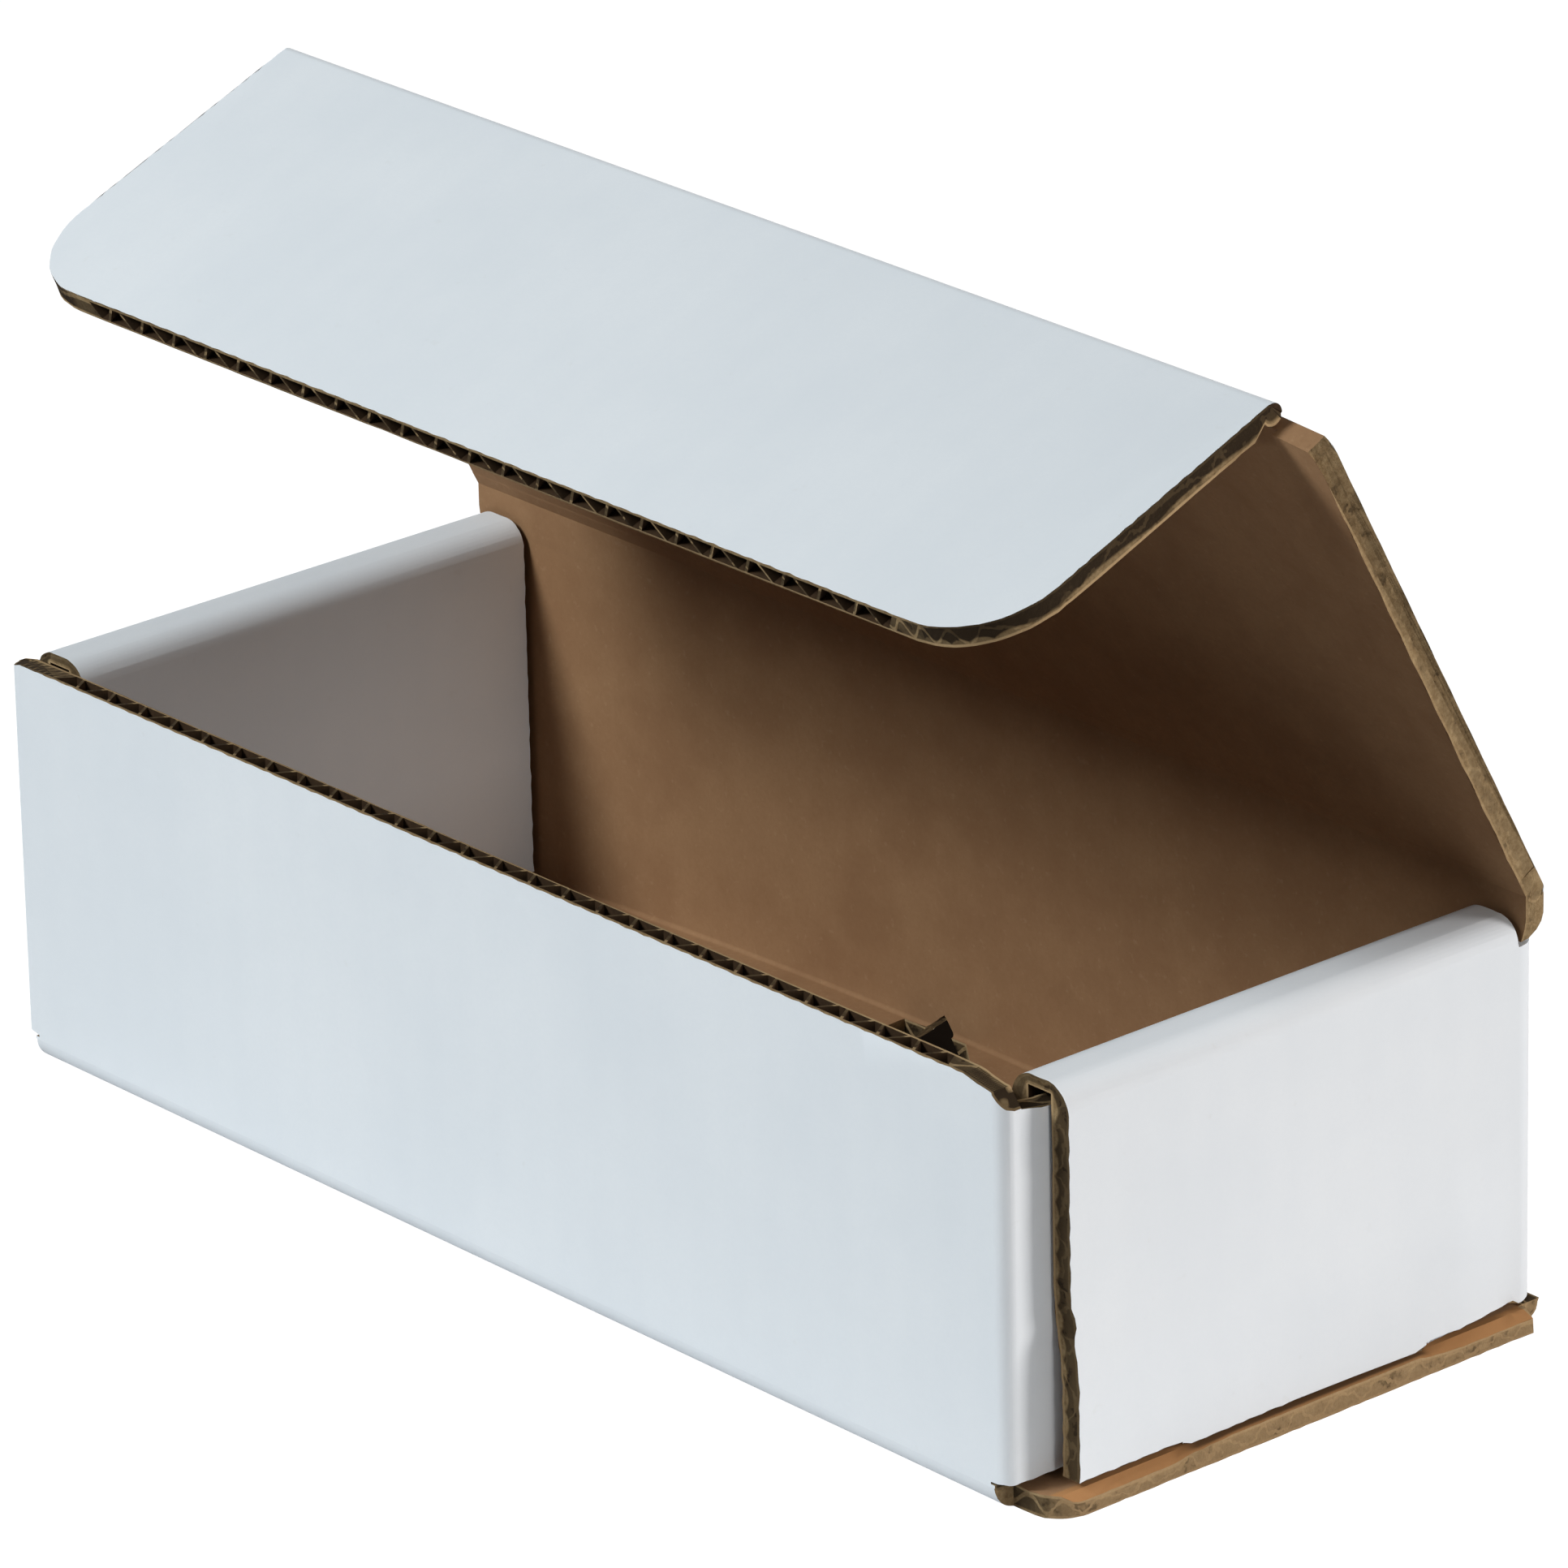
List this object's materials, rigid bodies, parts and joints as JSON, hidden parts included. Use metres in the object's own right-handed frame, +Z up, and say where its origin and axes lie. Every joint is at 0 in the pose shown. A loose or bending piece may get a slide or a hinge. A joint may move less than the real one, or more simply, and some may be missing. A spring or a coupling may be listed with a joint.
{
  "type": "mailer box",
  "caption": "Long low mailer box folded from one sheet of white-faced fluted board, with rolled end walls, standing with its lid and tuck flap open",
  "frame": {"origin": "under the middle of the bottom, on the face that the box rests on", "axes": "X along the box to the right as seen from the front, Y from the front wall to the back wall, Z up"},
  "size_m": [0.2042, 0.086, 0.1298],
  "materials": {
    "board": "fluted board, matt white outside paper, brown inside paper"
  },
  "bodies": {
    "tray": {"tray": "board"},
    "lid": {"lid": "board"},
    "tuck": {"tuck": "board"}
  },
  "joints": [
    {"name": "lid_crease", "type": "hinge", "parent": "tray", "child": "lid", "pos_m": [0, 0.0415, 0.0585], "axis": [-1, 0, 0], "range_deg": [-24, 118]},
    {"name": "tuck_crease", "type": "hinge", "parent": "lid", "child": "tuck", "pos_m": [0, 0.00441, 0.12825], "axis": [1, 0, 0], "range_deg": [-84.3, 44]}
  ]
}
